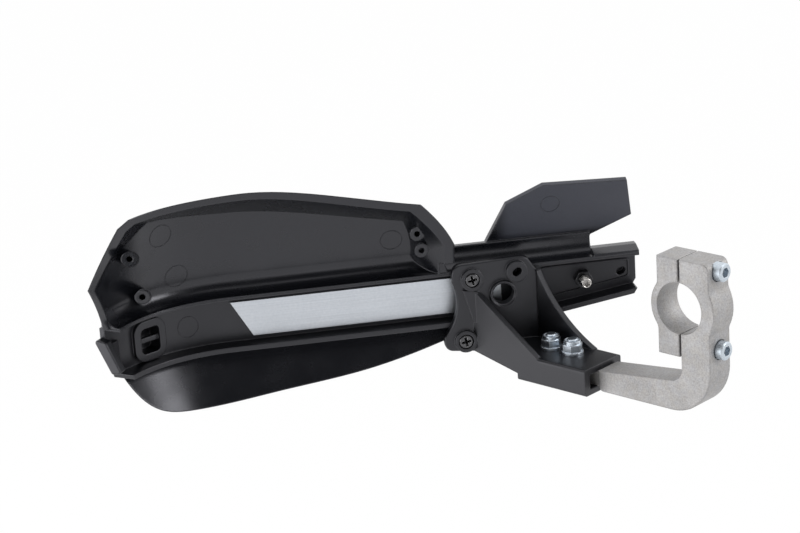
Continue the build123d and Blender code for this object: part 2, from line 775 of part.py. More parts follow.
# Upper shield: a leaf with a leaning floor that follows the bend of the spine, and a deep rim on three sides.
# A ledge joins it to the top of the spine, and it carries four hollow bosses and the small inner wing.
lean = radians(leaf_lean)
with BuildLine() as leaf_path:
    straight = Line((tail_start, floor_y), (bend_start, floor_y))
    JernArc(straight @ 1, straight % 1, bend_radius, leaf_bend_angle)
rim_y = floor_y - leaf_set - rim_depth / cos(lean)
with BuildLine() as rim_path:
    straight = Line((tail_start, rim_y), (rim_bend_start, rim_y))
    JernArc(straight @ 1, straight % 1, rim_bend_radius, rim_bend_angle)


def floor_reach(level):
    """How far forward of the channel's floor the rider's face of the leaf's floor stands at this height."""
    return -leaf_set - (level - leaf_level) * tan(lean)


def leaf_line(forward):
    """Rider's face of the leaf's floor in section, moved forwards: its low and its high end."""
    return [(floor_reach(level) + forward / cos(lean), level) for level in (leaf_low, leaf_high)]


def stood_off(corners, wall):
    """The closed outline moved outwards by a wall: each corner goes along the bisector of its two sides."""
    points = [Vector(*corner) for corner in corners]
    moved = []
    for before, here, after in zip(points[-1:] + points[:-1], points, points[1:] + points[:1]):
        into = (here - before).normalized()
        out = (after - here).normalized()
        bisector = Vector(-into.Y - out.Y, into.X + out.X)
        moved.append(here + bisector * (wall / (1 + into.dot(out))))
    return moved


ledge_top = channel_top_outer + ledge_lip
floor_foot = floor_reach(ledge_top)
ledge_run = floor_foot + channel_reach - ledge_edge
neck_edge = floor_reach(channel_top_outer + ledge_rise)

with BuildPart() as rider_side:
    with BuildSketch(section_plane):
        with BuildLine():
            Polyline(*leaf_line(0), (-leaf_side, leaf_high), (-leaf_side, leaf_low), close=True)
        make_face()
    sweep(path=leaf_path.wire())

with BuildPart() as behind_front:
    with BuildSketch(section_plane):
        with BuildLine():
            Polyline(*leaf_line(shield_wall), (-leaf_side, leaf_high), (-leaf_side, leaf_low), close=True)
        make_face()
    sweep(path=leaf_path.wire())

with BuildPart() as ahead_of_rim:
    with BuildSketch(section_plane):
        with BuildLine():
            Polyline(*leaf_line(-rim_depth), (leaf_side, leaf_high), (leaf_side, leaf_low), close=True)
        make_face()
    sweep(path=rim_path.wire())

with BuildPart() as leaf_hollow:
    for depth, corners in (
        (near_depth, stood_off(near_tip + near_brow + near_end, 0)),
        (deep_depth, stood_off(deep_tip + deep_brow + deep_end, 0)),
    ):
        with BuildSketch(outline_plane.offset(depth)):
            with BuildLine():
                ThreePointArc(*corners[:3])
                Polyline(*corners[2:5])
                Spline(*corners[4:9])
                Polyline(*corners[8:], corners[0])
            make_face()
    loft(ruled=True)
    add(rider_side.part, mode=Mode.INTERSECT)

with BuildPart() as leaf_block:
    for depth, corners in (
        (near_depth, stood_off(near_tip + near_brow + near_end, near_wall)),
        (deep_depth, stood_off(deep_tip + deep_brow + deep_end, deep_wall)),
    ):
        with BuildSketch(outline_plane.offset(depth)):
            with BuildLine():
                ThreePointArc(*corners[:3])
                Polyline(*corners[2:5])
                Spline(*corners[4:9])
                Polyline(*corners[8:], corners[0])
            make_face()
    loft(ruled=True)
    add(behind_front.part, mode=Mode.INTERSECT)

with BuildPart() as leaf_bosses:
    with BuildSketch(section_plane):
        with BuildLine():
            Polyline(*leaf_line(boss_floor), *reversed(leaf_line(-boss_proud)), close=True)
        make_face()
    sweep(path=leaf_path.wire())
    with BuildSketch(outline_plane):
        with Locations(*boss_places):
            Circle(boss_diameter / 2)
    extrude(amount=bend_radius, dir=draw_dir, both=True, mode=Mode.INTERSECT)
    add(leaf_block.part, mode=Mode.INTERSECT)

with BuildPart() as boss_holes:
    with BuildSketch(outline_plane):
        with Locations(*boss_places):
            Circle(boss_hole_diameter / 2)
    extrude(amount=bend_radius, dir=draw_dir, both=True)
    with BuildSketch(section_plane):
        with BuildLine():
            Polyline(*leaf_line(0), *reversed(leaf_line(-2 * boss_proud)), close=True)
        make_face()
    sweep(path=leaf_path.wire(), mode=Mode.INTERSECT)

with BuildPart() as upper_shield:
    add(leaf_block.part)
    add(ahead_of_rim.part, mode=Mode.INTERSECT)
    add(leaf_hollow.part, mode=Mode.SUBTRACT)
    add(leaf_bosses.part)
    with BuildSketch(plate_plane.offset(-plate_play)):
        with Locations((ear_left - plate_play, plate_top_right + plate_play)):
            Rectangle(-2 * ear_left, channel_reach + plate_top_right, align=(Align.MIN, Align.MAX))
    extrude(amount=leaf_side, mode=Mode.SUBTRACT)
    with BuildLine() as ledge_path:
        straight = Line((ledge_end, floor_y), (bend_start, floor_y))
        JernArc(straight @ 1, straight % 1, bend_radius, bend_angle)
    with BuildSketch(section_plane.offset(ledge_end - tail_start)):
        with BuildLine():
            hollow = TangentArc(
                (ledge_edge - channel_reach, ledge_top),
                (floor_foot - ledge_run * sin(lean), ledge_top + ledge_run * cos(lean)),
                tangent=(1, 0),
            )
            Polyline(
                hollow @ 0,
                (-channel_reach, ledge_top),
                (-channel_reach, channel_top_outer),
                (ledge_front, channel_top_outer),
                (ledge_front, channel_top_outer + ledge_rise),
                (neck_edge, channel_top_outer + ledge_rise),
                hollow @ 1,
            )
        make_face()
    sweep(path=ledge_path.wire())
    with BuildSketch(section_plane.offset(ledge_end - tail_start)):
        with BuildLine():
            Polyline(
                (-channel_reach, channel_top_outer),
                (-channel_reach, channel_top_outer + tail_flange / 2),
                (-channel_reach / 3, channel_top_outer + tail_flange),
                (ledge_front, channel_top_outer + tail_flange),
                (ledge_front, channel_top_outer),
                close=True,
            )
        make_face()
    extrude(amount=tail_end - ledge_end)
    wing_plane = Plane(
        origin=(0, floor_y + shield_wall, wing_fold),
        x_dir=(1, 0, 0),
        z_dir=(0, -cos(radians(wing_lean)), -sin(radians(wing_lean))),
    )
    with BuildSketch(wing_plane):
        with BuildLine():
            Polyline(*wing_left, *wing_right, close=True)
        make_face()
    extrude(amount=shield_wall)
    add(boss_holes.part, mode=Mode.SUBTRACT)
    split(bisect_by=Plane.XY.offset(channel_top_outer), keep=Keep.TOP)
upper_shield.part.label = "upper_shield"
export_step(upper_shield.part, "parts/upper_shield.step")
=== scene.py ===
import bmesh
import bpy
import numpy as np
from mathutils import Matrix, Vector


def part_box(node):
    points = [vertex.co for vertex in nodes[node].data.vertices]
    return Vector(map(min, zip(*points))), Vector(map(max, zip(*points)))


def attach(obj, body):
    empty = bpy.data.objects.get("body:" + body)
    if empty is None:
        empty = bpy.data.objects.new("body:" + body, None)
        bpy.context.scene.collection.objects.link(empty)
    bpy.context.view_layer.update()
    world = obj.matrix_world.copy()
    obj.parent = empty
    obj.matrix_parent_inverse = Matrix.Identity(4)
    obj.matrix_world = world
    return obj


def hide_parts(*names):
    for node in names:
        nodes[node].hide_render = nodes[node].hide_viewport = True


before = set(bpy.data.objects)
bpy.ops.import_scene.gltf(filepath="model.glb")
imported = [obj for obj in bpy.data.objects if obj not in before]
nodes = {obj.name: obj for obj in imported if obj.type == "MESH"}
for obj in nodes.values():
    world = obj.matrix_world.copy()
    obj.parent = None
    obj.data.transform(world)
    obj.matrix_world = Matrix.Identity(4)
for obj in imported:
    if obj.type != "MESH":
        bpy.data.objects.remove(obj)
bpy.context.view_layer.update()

# Arm and loose half of the handlebar clamp: sawn and milled from aluminium plate, then tumbled in stones,
# which rounds the edges and leaves a dull, finely mottled skin. Two screws draw the halves onto the bar.


def add_node(tree, kind, settings=None, **inputs):
    """One shader node. An input is a number, a colour or another node's output socket. Its key is the
    socket's label, with _ for a space, or _ and the socket's number."""
    made = tree.nodes.new("ShaderNode" + kind)
    for key, value in (settings or {}).items():
        setattr(made, key, value)
    for key, value in inputs.items():
        number = key[1:]
        socket = made.inputs[int(number) if number.isdigit() else key.replace("_", " ")]
        if isinstance(value, bpy.types.NodeSocket):
            tree.links.new(value, socket)
        else:
            socket.default_value = value
    return made


def combine(tree, operation, *values):
    """One arithmetic node on two or three values."""
    numbered = {f"_{number}": value for number, value in enumerate(values)}
    return add_node(tree, "Math", {"operation": operation}, **numbered).outputs["Value"]


def ramp(tree, value, low, high, low_result=0.0, high_result=1.0):
    """A straight ramp from one result at low to another at high, held beyond them."""
    made = add_node(tree, "MapRange", Value=value, From_Min=low, From_Max=high,
                    To_Min=low_result, To_Max=high_result)
    return made.outputs["Result"]


def ease(tree, value, start, end):
    """A smooth step: 0 where the value is at start and 1 where it is at end, which may be the lower one."""
    low_result, high_result = (0.0, 1.0) if start < end else (1.0, 0.0)
    made = add_node(tree, "MapRange", {"interpolation_type": "SMOOTHSTEP"}, Value=value,
                    From_Min=min(start, end), From_Max=max(start, end),
                    To_Min=low_result, To_Max=high_result)
    return made.outputs["Result"]


def mix_colours(tree, first, second, factor=1.0, way="MIX"):
    """Two colours mixed by a factor, or multiplied where way is MULTIPLY."""
    settings = {"data_type": "RGBA", "blend_type": way}
    return add_node(tree, "Mix", settings, Factor=factor, A=first, B=second).outputs["Result"]


def noise(tree, scale, detail, place=None):
    """Noise about 0.5 on the object's own coordinates, or on a place worked out from them."""
    if place is None:
        place = add_node(tree, "TexCoord").outputs["Object"]
    return add_node(tree, "TexNoise", Vector=place, Scale=scale, Detail=detail).outputs["Fac"]


def shader_group(name, inputs, outputs, build):
    """A node group with named sockets. build fills it and gives the sockets that feed its outputs."""
    group = bpy.data.node_groups.new(name, "ShaderNodeTree")
    for direction, sockets in (("INPUT", inputs), ("OUTPUT", outputs)):
        for label, kind in sockets.items():
            group.interface.new_socket(label, in_out=direction, socket_type="NodeSocket" + kind)
    enter = group.nodes.new("NodeGroupInput")
    leave = group.nodes.new("NodeGroupOutput")
    for label, socket in zip(outputs, build(group, enter.outputs)):
        group.links.new(socket, leave.inputs[label])
    return group


def build_mottle(group, given):
    """Fine noise mixes the two colours, a broad noise moves the roughness, and both add up to the height."""
    broad_scale = 60.0
    fine_share = 0.7
    fine = noise(group, given["Grain"], detail=3.0)
    broad = noise(group, broad_scale, detail=4.0)
    colour = mix_colours(group, given["Dark"], given["Light"], ramp(group, fine, low=0.28, high=0.72))
    rough = ramp(group, broad, low=0.3, high=0.7,
                 low_result=given["Low roughness"], high_result=given["High roughness"])
    height = combine(group, "MULTIPLY_ADD", fine, fine_share, broad)
    return colour, rough, height


def build_soft_edge(group, given):
    """The normal rounded over each edge, and a mask that is 1 on the edge, where that normal parts from the
    surface's own. How far they part is read from the cosine of the angle between them."""
    flat_cosine = 0.99
    edge_cosine = 0.76
    rounded = add_node(group, "Bevel", {"samples": 6}, Radius=given["Radius"]).outputs["Normal"]
    straight = add_node(group, "NewGeometry").outputs["Normal"]
    product = add_node(group, "VectorMath", {"operation": "DOT_PRODUCT"}, _0=rounded, _1=straight)
    return rounded, ease(group, product.outputs["Value"], start=flat_cosine, end=edge_cosine)


mottled_skin = shader_group(
    "mottled_skin",
    {"Dark": "Color", "Light": "Color", "Grain": "Float",
     "Low roughness": "Float", "High roughness": "Float"},
    {"Colour": "Color", "Roughness": "Float", "Height": "Float"},
    build_mottle,
)
soft_edge = shader_group(
    "soft_edge", {"Radius": "Float"}, {"Normal": "Vector", "Mask": "Float"}, build_soft_edge)


def finish_material(name, dark, light, edge_wear_and_sheen, grain, roughness, bump, metallic, edge_radius, pattern=None):
    """A Principled shader with the mottled skin, which turns to a paler edge colour along rounded edges:
    partly wear, and partly a painted highlight for the light the rounded edges catch.

    grain is the scale of the fine noise, bump its height in metres. A pattern, where there is one, takes the
    skin's colour and roughness and gives them back changed. Plastics get a slightly blue, stronger gloss.
    """
    plastic_gloss = 0.62
    plastic_gloss_tint = (0.93, 0.93, 1.0, 1)
    material = bpy.data.materials.new(name)
    material.use_nodes = True
    tree = material.node_tree
    skin = add_node(tree, "Group", {"node_tree": mottled_skin}, Dark=(*dark, 1), Light=(*light, 1),
                    Grain=grain, Low_roughness=roughness[0], High_roughness=roughness[1]).outputs
    edge = add_node(tree, "Group", {"node_tree": soft_edge}, Radius=edge_radius).outputs
    colour = skin["Colour"]
    rough = skin["Roughness"]
    if pattern:
        colour, rough = pattern(tree, colour, rough)
    # Painted highlight and wear: the edge mask mixes in the paler edge colour.
    edge_worn_and_lit = mix_colours(tree, colour, (*edge_wear_and_sheen, 1), edge["Mask"])
    raised = add_node(tree, "Bump", Height=skin["Height"], Distance=bump, Normal=edge["Normal"])
    shader = tree.nodes["Principled BSDF"].inputs
    tree.links.new(edge_worn_and_lit, shader["Base Color"])
    tree.links.new(rough, shader["Roughness"])
    tree.links.new(raised.outputs["Normal"], shader["Normal"])
    shader["Metallic"].default_value = metallic
    if metallic == 0.0:
        shader["Specular IOR Level"].default_value = plastic_gloss
        shader["Specular Tint"].default_value = plastic_gloss_tint
    return material


def dress(material, *names):
    """Gives the named CAD nodes one material."""
    for name in names:
        nodes[name].data.materials.clear()
        nodes[name].data.materials.append(material)


def tint_patches(tree, colour, rough):
    """Lays faint warm and cool patches over the aluminium, each a few millimetres across."""
    patch_scale = 240.0
    cool = (0.985, 0.992, 1.01, 1)
    warm = (1.012, 1.0, 0.982, 1)
    patch = ramp(tree, noise(tree, patch_scale, detail=2.0), low=0.35, high=0.65)
    return mix_colours(tree, colour, mix_colours(tree, cool, warm, patch), way="MULTIPLY"), rough


tumbled = finish_material(
    "tumbled_aluminium", dark=(0.335, 0.329, 0.328), light=(0.475, 0.467, 0.465), edge_wear_and_sheen=(0.57, 0.561, 0.557),
    grain=1100, roughness=(0.55, 0.7), bump=0.00008, metallic=1.0, edge_radius=0.0009, pattern=tint_patches)
dress(tumbled, "clamp_arm", "clamp_cap")

# Socket head screws of the clamp: cold-formed steel with a satin, slightly blue zinc plate. They pass
# through the arm and are screwed into the loose half.
satin_zinc = finish_material(
    "satin_zinc_plate", dark=(0.46, 0.515, 0.575), light=(0.62, 0.675, 0.725), edge_wear_and_sheen=(0.74, 0.78, 0.82),
    grain=1500, roughness=(0.4, 0.52), bump=0.000006, metallic=1.0, edge_radius=0.0005)
dress(satin_zinc, "clamp_screw_upper", "clamp_screw_lower")

# Mounting bracket: one black moulding of glass-filled nylon with a satin skin from the tool. Two screws
# hold it to the spine and the lower shield, and the arm is bolted into its open socket.
# Its edge colour is about ten times paler than the skin: a painted highlight along the rounded edges, with
# some wear.
nylon_black = finish_material(
    "bracket_nylon", dark=(0.0024, 0.0027, 0.0038), light=(0.0046, 0.005, 0.0066),
    edge_wear_and_sheen=(0.046, 0.0465, 0.051), grain=2200, roughness=(0.32, 0.42), bump=0.00001, metallic=0.0,
    edge_radius=0.001)
dress(nylon_black, "mount_bracket")

# Bolts and flanged lock nuts that hold the arm in the bracket: socket head bolts put in from below, with
# a bright zinc plate, each with a nut on the bracket's floor and a nylon ring in the nut.
zinc = finish_material(
    "zinc_plate", dark=(0.5, 0.56, 0.63), light=(0.7, 0.76, 0.82), edge_wear_and_sheen=(0.84, 0.88, 0.92),
    grain=1500, roughness=(0.26, 0.4), bump=0.000006, metallic=1.0, edge_radius=0.0004)
nylon_white = finish_material(
    "nylon_ring", dark=(0.5, 0.55, 0.6), light=(0.62, 0.66, 0.7), edge_wear_and_sheen=(0.66, 0.7, 0.74),
    grain=800, roughness=(0.35, 0.5), bump=0.000005, metallic=0.0, edge_radius=0.0002)
dress(zinc, "arm_nut_inner", "arm_nut_outer")
dress(nylon_white, "nut_ring_inner", "nut_ring_outer")
millimetre = 0.001
# Radius and height above the head's end, from the shank's end down to the bottom of the socket. The
# socket's rows give the distance of its flats.
bolt_profile = millimetre * np.array([
    (0, 27.6), (2.5, 27.6), (3, 27.1), (3, 4), (5.2, 4), (5.4, 3.7), (5.4, 0.7), (4.8, 0), (2.95, 0),
    (2.5, 0.2), (2.5, 2.5), (0, 2.5),
])
bolt_socket_rows = slice(9, 11)
knurled_rows = slice(5, 7)
knurl_height = 0.00008
knurl_count = 32
turn_steps = 96
turn = np.linspace(0, 2 * np.pi, turn_steps, endpoint=False)
# Radius of a hexagon with its flats at 1: one over the cosine of the angle from the nearest flat.
hexagon = 1 / np.cos((turn + np.pi / 6) % (np.pi / 3) - np.pi / 6)


def mesh_piece(name, points, faces, material, recess=None):
    """A new piece from arrays of points and faces, its poles and seams merged, riding on the body. recess,
    if given, is a value from 0 to 1 for each point that the material can read."""
    merge_distance = 0.000001
    mesh = bpy.data.meshes.new(name)
    mesh.from_pydata(points.reshape(-1, 3).tolist(), [], faces.tolist())
    mesh.materials.append(material)
    if recess is not None:
        mesh.attributes.new("recess", "FLOAT", "POINT").data.foreach_set("value", recess.ravel())
    merged = bmesh.new()
    merged.from_mesh(mesh)
    bmesh.ops.remove_doubles(merged, verts=merged.verts, dist=merge_distance)
    merged.to_mesh(mesh)
    merged.free()
    piece = bpy.data.objects.new(name, mesh)
    bpy.context.scene.collection.objects.link(piece)
    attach(piece, "root")
    return piece


def grid_faces(rows, columns):
    """Quads of a grid whose last column joins its first."""
    row, column = np.meshgrid(np.arange(rows - 1), np.arange(columns), indexing="ij")
    after = (column + 1) % columns
    quads = np.stack([row * columns + column, (row + 1) * columns + column,
                      (row + 1) * columns + after, row * columns + after], axis=-1)
    return quads.reshape(-1, 4)


def turned_piece(name, radius, along, centre, axis, material, recess=None):
    """A profile turned about an axis along y or z. Across the axis, a point lies at the radius times the
    cosine and the sine of the turn from the centre, and along it at the profile's own place. About y the
    faces are reversed, which makes them point outwards."""
    coordinates = [centre[0] + radius * np.cos(turn), centre[1] + radius * np.sin(turn)]
    coordinates.insert("xyz".index(axis), np.broadcast_to(along, radius.shape))
    faces = grid_faces(*radius.shape)
    if axis == "y":
        faces = faces[:, ::-1]
    return mesh_piece(name, np.stack(coordinates, axis=-1), faces, material, recess)


def box_centre(node):
    """Middle of a CAD node's box."""
    return np.mean(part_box(node), axis=0)


for place in ("inner", "outer"):
    # The socket is drawn out to a hexagon, and the head's side is knurled by a small wave.
    radius = bolt_profile[:, :1] + 0 * turn
    radius[bolt_socket_rows] *= hexagon
    radius[knurled_rows] += knurl_height * np.cos(knurl_count * turn)
    head_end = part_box(f"arm_bolt_{place}")[0][2]
    bolt_x, bolt_y, _ = box_centre(f"arm_bolt_{place}")
    bolt = turned_piece(
        f"socket_bolt_{place}", radius, head_end + bolt_profile[:, 1:], (bolt_x, bolt_y), "z", zinc)
    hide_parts(f"arm_bolt_{place}")

# Spine: a long channel moulded in the bracket's black nylon, open to the rider and curved round the hand
# at its outer end. It carries the shields, the strip and the bracket.
dress(nylon_black, "spine")

# Rib round the floor of the spine's tail: a low ridge of the same black nylon, moulded in one with the
# spine. It stiffens the narrow end round the stud.
rib_floor = 0.109
rib_left = -0.057
rib_right = -0.0045
rib_top = -0.0078
rib_foot_left = -0.0275
rib_foot_right = -0.0195
rib_squareness = 0.16
rib_offsets = np.array([0.0, 0.0004, 0.001, 0.0014])[:, None]
rib_heights = np.array([-0.0001, 0.0008, 0.0008, -0.0001])[:, None]
lap_steps = 320
lap = np.linspace(0, 2 * np.pi, lap_steps, endpoint=False)
# Squared-off circle: cosine and sine are pressed towards the sides by a small power, then spread over a
# plate whose foot rises to the right. Each row is that line moved in by an offset and raised off the floor.
wide = np.sign(np.cos(lap)) * np.abs(np.cos(lap)) ** rib_squareness
tall = np.sign(np.sin(lap)) * np.abs(np.sin(lap)) ** rib_squareness
rib_x = (rib_left + rib_right) / 2 + ((rib_right - rib_left) / 2 - rib_offsets) * wide
rib_foot = rib_foot_left + (rib_foot_right - rib_foot_left) * (rib_x - rib_left) / (rib_right - rib_left)
rib_z = (rib_top + rib_foot) / 2 + ((rib_top - rib_foot) / 2 - rib_offsets) * tall
rib_rows = np.stack([rib_x, rib_floor - rib_heights + 0 * lap, rib_z], axis=-1)
closed_rows = np.concatenate([rib_rows, rib_rows[:1]])
rib = mesh_piece("tail_rib", closed_rows, grid_faces(len(closed_rows), len(lap)), nylon_black)

# Reinforcing strip: a flat bar of bare rolled aluminium on the floor of the channel, with one end cut on
# the slant and the fine lines of the rolls along its length.


def rolled_lines(tree, colour, rough):
    """Noise drawn out along the strip shades the colour a little and makes the lighter lines rougher."""
    drawn_out = (14.0, 1.0, 1600.0)
    rougher = 0.14
    place = add_node(tree, "TexCoord").outputs["Object"]
    drawn = add_node(tree, "Mapping", Vector=place, Scale=drawn_out).outputs["Vector"]
    lines = noise(tree, 1.0, detail=3.0, place=drawn)
    shade = ramp(tree, lines, low=0.3, high=0.7, low_result=0.9, high_result=1.05)
    lined = mix_colours(tree, colour, shade, way="MULTIPLY")
    return lined, combine(tree, "MULTIPLY_ADD", lines, rougher, rough)


rolled = finish_material(
    "rolled_aluminium", dark=(0.53, 0.56, 0.605), light=(0.59, 0.615, 0.655), edge_wear_and_sheen=(0.7, 0.72, 0.74),
    grain=700, roughness=(0.26, 0.34), bump=0.000003, metallic=1.0, edge_radius=0.0003, pattern=rolled_lines)
dress(rolled, "reinforcing_strip")

# Stud through the tail with a nut on it, for a fitting that is bolted on: a bright nickel-plated stud with a
# rolled thread, and a nut with a dark plate.
nickel = finish_material(
    "nickel_plate", dark=(0.56, 0.54, 0.52), light=(0.7, 0.68, 0.66), edge_wear_and_sheen=(0.86, 0.84, 0.82),
    grain=1500, roughness=(0.16, 0.28), bump=0.000004, metallic=1.0, edge_radius=0.0004)
dark_steel = finish_material(
    "dark_plate", dark=(0.03, 0.03, 0.033), light=(0.065, 0.065, 0.07), edge_wear_and_sheen=(0.2, 0.2, 0.205),
    grain=1500, roughness=(0.22, 0.36), bump=0.000004, metallic=1.0, edge_radius=0.0004)
# Radius and depth behind the stud's end: first from the bottom of its hexagon socket out to the shank,
# with the distance of the flats in the socket's rows, and after the thread over the head.
stud_end = millimetre * np.array([(0, 3), (2, 3), (2, 0.2), (2.32, 0), (2.5, 0), (2.75, 0.3)])
stud_head = millimetre * np.array([(5.5, 14.1), (5.5, 14.3), (5.5, 16.7), (5.2, 17), (0, 17)])
stud_socket_rows = slice(1, 3)
thread_pitch = 0.001
thread_root = 0.00268
thread_height = 0.00032
thread_start = 0.0005
thread_end = 0.0141
thread_rows = 130
thread_depths = np.linspace(thread_start, thread_end, thread_rows)[:, None]
# The thread is a rounded ridge that climbs one pitch with each turn.
ridge = 0.5 + 0.5 * np.cos(2 * np.pi * thread_depths / thread_pitch - turn)
end_radius = stud_end[:, :1] + 0 * turn
end_radius[stud_socket_rows] *= hexagon
stud_radius = np.vstack([end_radius, thread_root + thread_height * ridge, stud_head[:, :1] + 0 * turn])
stud_depth = np.vstack([stud_end[:, 1:], thread_depths, stud_head[:, 1:]])
stud_x, _, stud_z = box_centre("spine_stud")
stud_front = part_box("spine_stud")[0][1]
stud = turned_piece("threaded_stud", stud_radius, stud_front + stud_depth, (stud_x, stud_z), "y", nickel)
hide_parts("spine_stud")
dress(dark_steel, "stud_nut")

# Clip on the outer end of the spine: a small moulding of the same black nylon, which closes the channel
# there. It has a tongue that is pushed into the channel.
dress(nylon_black, "end_clip")

# Screws of the bracket: pan heads with a cross recess, steel with a dark plate, driven into the bosses
# of the spine and the lower shield.


def paint_recess_shade(tree, colour, rough):
    """Painted shade: takes most of the colour out of the recess, for the shade that falls in it, and makes
    the plate duller there.
    """
    recess_shade_share = 0.06
    duller = 0.4
    sunk = add_node(tree, "Attribute", {"attribute_name": "recess"}).outputs["Fac"]
    # Painted shade: the colour in the recess is cut to a small share of the plate's.
    left = ramp(tree, sunk, low=0.2, high=0.8, low_result=1.0, high_result=recess_shade_share)
    shade = add_node(tree, "VectorMath", {"operation": "SCALE"}, _0=colour, Scale=left)
    return shade.outputs["Vector"], combine(tree, "MULTIPLY_ADD", sunk, duller, rough)


# The edge colour is far paler than the plate: mostly a painted glint along the heads' rounded edges, with
# some wear.
black_zinc = finish_material(
    "black_zinc", dark=(0.07, 0.07, 0.073), light=(0.13, 0.13, 0.135), edge_wear_and_sheen=(0.5, 0.5, 0.51),
    grain=1500, roughness=(0.16, 0.26), bump=0.000004, metallic=1.0, edge_radius=0.0003,
    pattern=paint_recess_shade)
head_radius = 0.0039
head_depth = 0.0021
dome_rise = 0.0006
rim_radius = 0.97 * head_radius
rim_depth = 1.1 * dome_rise
side_depth = 1.6 * dome_rise
shank_radius = 0.54 * head_radius
tip_radius = 0.3 * head_radius
tip_start_share = 0.98
face_reach = 0.0034
face_rows = 44
recess_reach = 0.0027
recess_width = 0.00125
recess_depth = 0.0026
recess_wall = 0.0002
recess_angle = 0.2


def smooth_step(value):
    """0 below 0, 1 above 1, and three times the square less twice the cube between them."""
    held = np.clip(value, 0, 1)
    return held * held * (3 - 2 * held)


for side in ("upper", "lower"):
    # Rows run out over the domed face, down its side and along the shank to the tip. The face sinks where a
    # point is nearer to one of the two arms of the cross than half its width, with soft walls.
    screw_low, screw_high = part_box(f"bracket_screw_{side}")
    screw_x, _, screw_z = box_centre(f"bracket_screw_{side}")
    length = screw_high[1] - screw_low[1]
    face_radius = np.linspace(0, face_reach, face_rows)[:, None] + 0 * turn
    from_first = face_radius * np.abs(np.sin(turn - recess_angle))
    from_second = face_radius * np.abs(np.cos(turn - recess_angle))
    from_arm = np.minimum(from_first, from_second)
    in_width = smooth_step((recess_width / 2 - from_arm) / recess_wall + 0.5)
    in_reach = smooth_step((recess_reach - face_radius) / recess_wall)
    sunk = in_width * in_reach
    face_depth = dome_rise * (face_radius / head_radius) ** 2 + recess_depth * sunk
    side_profile = np.array([
        (rim_radius, rim_depth), (head_radius, side_depth), (head_radius, head_depth),
        (shank_radius, head_depth), (shank_radius, tip_start_share * length), (tip_radius, length),
        (0, length)])
    radius = np.vstack([face_radius, side_profile[:, :1] + 0 * turn])
    depth = np.vstack([face_depth, side_profile[:, 1:] + 0 * turn])
    recess = np.vstack([sunk, np.zeros((len(side_profile), len(turn)))])
    screw = turned_piece(
        f"cross_screw_{side}", radius, screw_low[1] + depth, (screw_x, screw_z), "y", black_zinc, recess)
    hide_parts(f"bracket_screw_{side}")

# Lower shield: a thin black lobe below the spine, moulded in one with a boss for the bracket's screw. The
# shields are a softer plastic than the bracket, with a smoother skin.
# The edge colour is several times paler than the skin: a painted highlight along the rounded edges, with
# some wear.
shield_look = dict(
    dark=(0.004, 0.0045, 0.0062), light=(0.007, 0.0075, 0.0098), edge_wear_and_sheen=(0.038, 0.0385, 0.043),
    grain=3000, roughness=(0.2, 0.3), bump=0.000006, metallic=0.0, edge_radius=0.0012)
shield_black = finish_material("shield_plastic", **shield_look)
dress(shield_black, "lower_shield")

# Upper shield: the large black leaf above the spine, with its rim, screw bosses and the small inner wing,
# moulded in one and held under the bracket. The tool is polished for the leaf, and spark-eroded and so
# duller for the wing, whose colour is also painted paler, a painted sheen for the light it catches.


def wing_painted_sheen(tree, colour, rough):
    """Painted sheen: the colour made paler past the wing's outer edge and above its foot, for the light it
    catches there, and the skin rougher there too, with soft borders.
    """
    wing_sheen_gain = 5.6
    wing_duller = 0.24
    place = add_node(tree, "SeparateXYZ", Vector=add_node(tree, "TexCoord").outputs["Object"]).outputs
    past_edge = ease(tree, place["X"], start=-0.082, end=-0.072)
    above_foot = ease(tree, place["Z"], start=0.009, end=0.015)
    wing = combine(tree, "MULTIPLY", past_edge, above_foot)
    # The colour is multiplied up on the wing: a painted sheen, not the plastic's own colour.
    gain = ramp(tree, wing, low=0.0, high=1.0, low_result=1.0, high_result=wing_sheen_gain)
    sheen_paint = add_node(tree, "VectorMath", {"operation": "SCALE"}, _0=colour, Scale=gain)
    return sheen_paint.outputs["Vector"], combine(tree, "MULTIPLY_ADD", wing, wing_duller, rough)


leaf_black = finish_material("leaf_plastic", **shield_look, pattern=wing_painted_sheen)
dress(leaf_black, "upper_shield")

# Floor of the screw hole in the lowest boss at the leaf's inner end: the same black plastic, moulded in
# one with the boss. The leaf's end wall would leave the hole open.
plug_x = -0.1239
plug_z = 0.0123
# Radius and place along y, from the middle of the hole's floor to the middle of the plug's back.
plug_profile = millimetre * np.array([(0, 102.2), (1.2, 102.2), (1.59, 102.5), (1.59, 105.2), (0, 105.2)])
plug_radius = plug_profile[:, :1] + 0 * turn
plug = turned_piece(
    "boss_hole_floor", plug_radius, plug_profile[:, 1:], (plug_x, plug_z), "y", leaf_black)

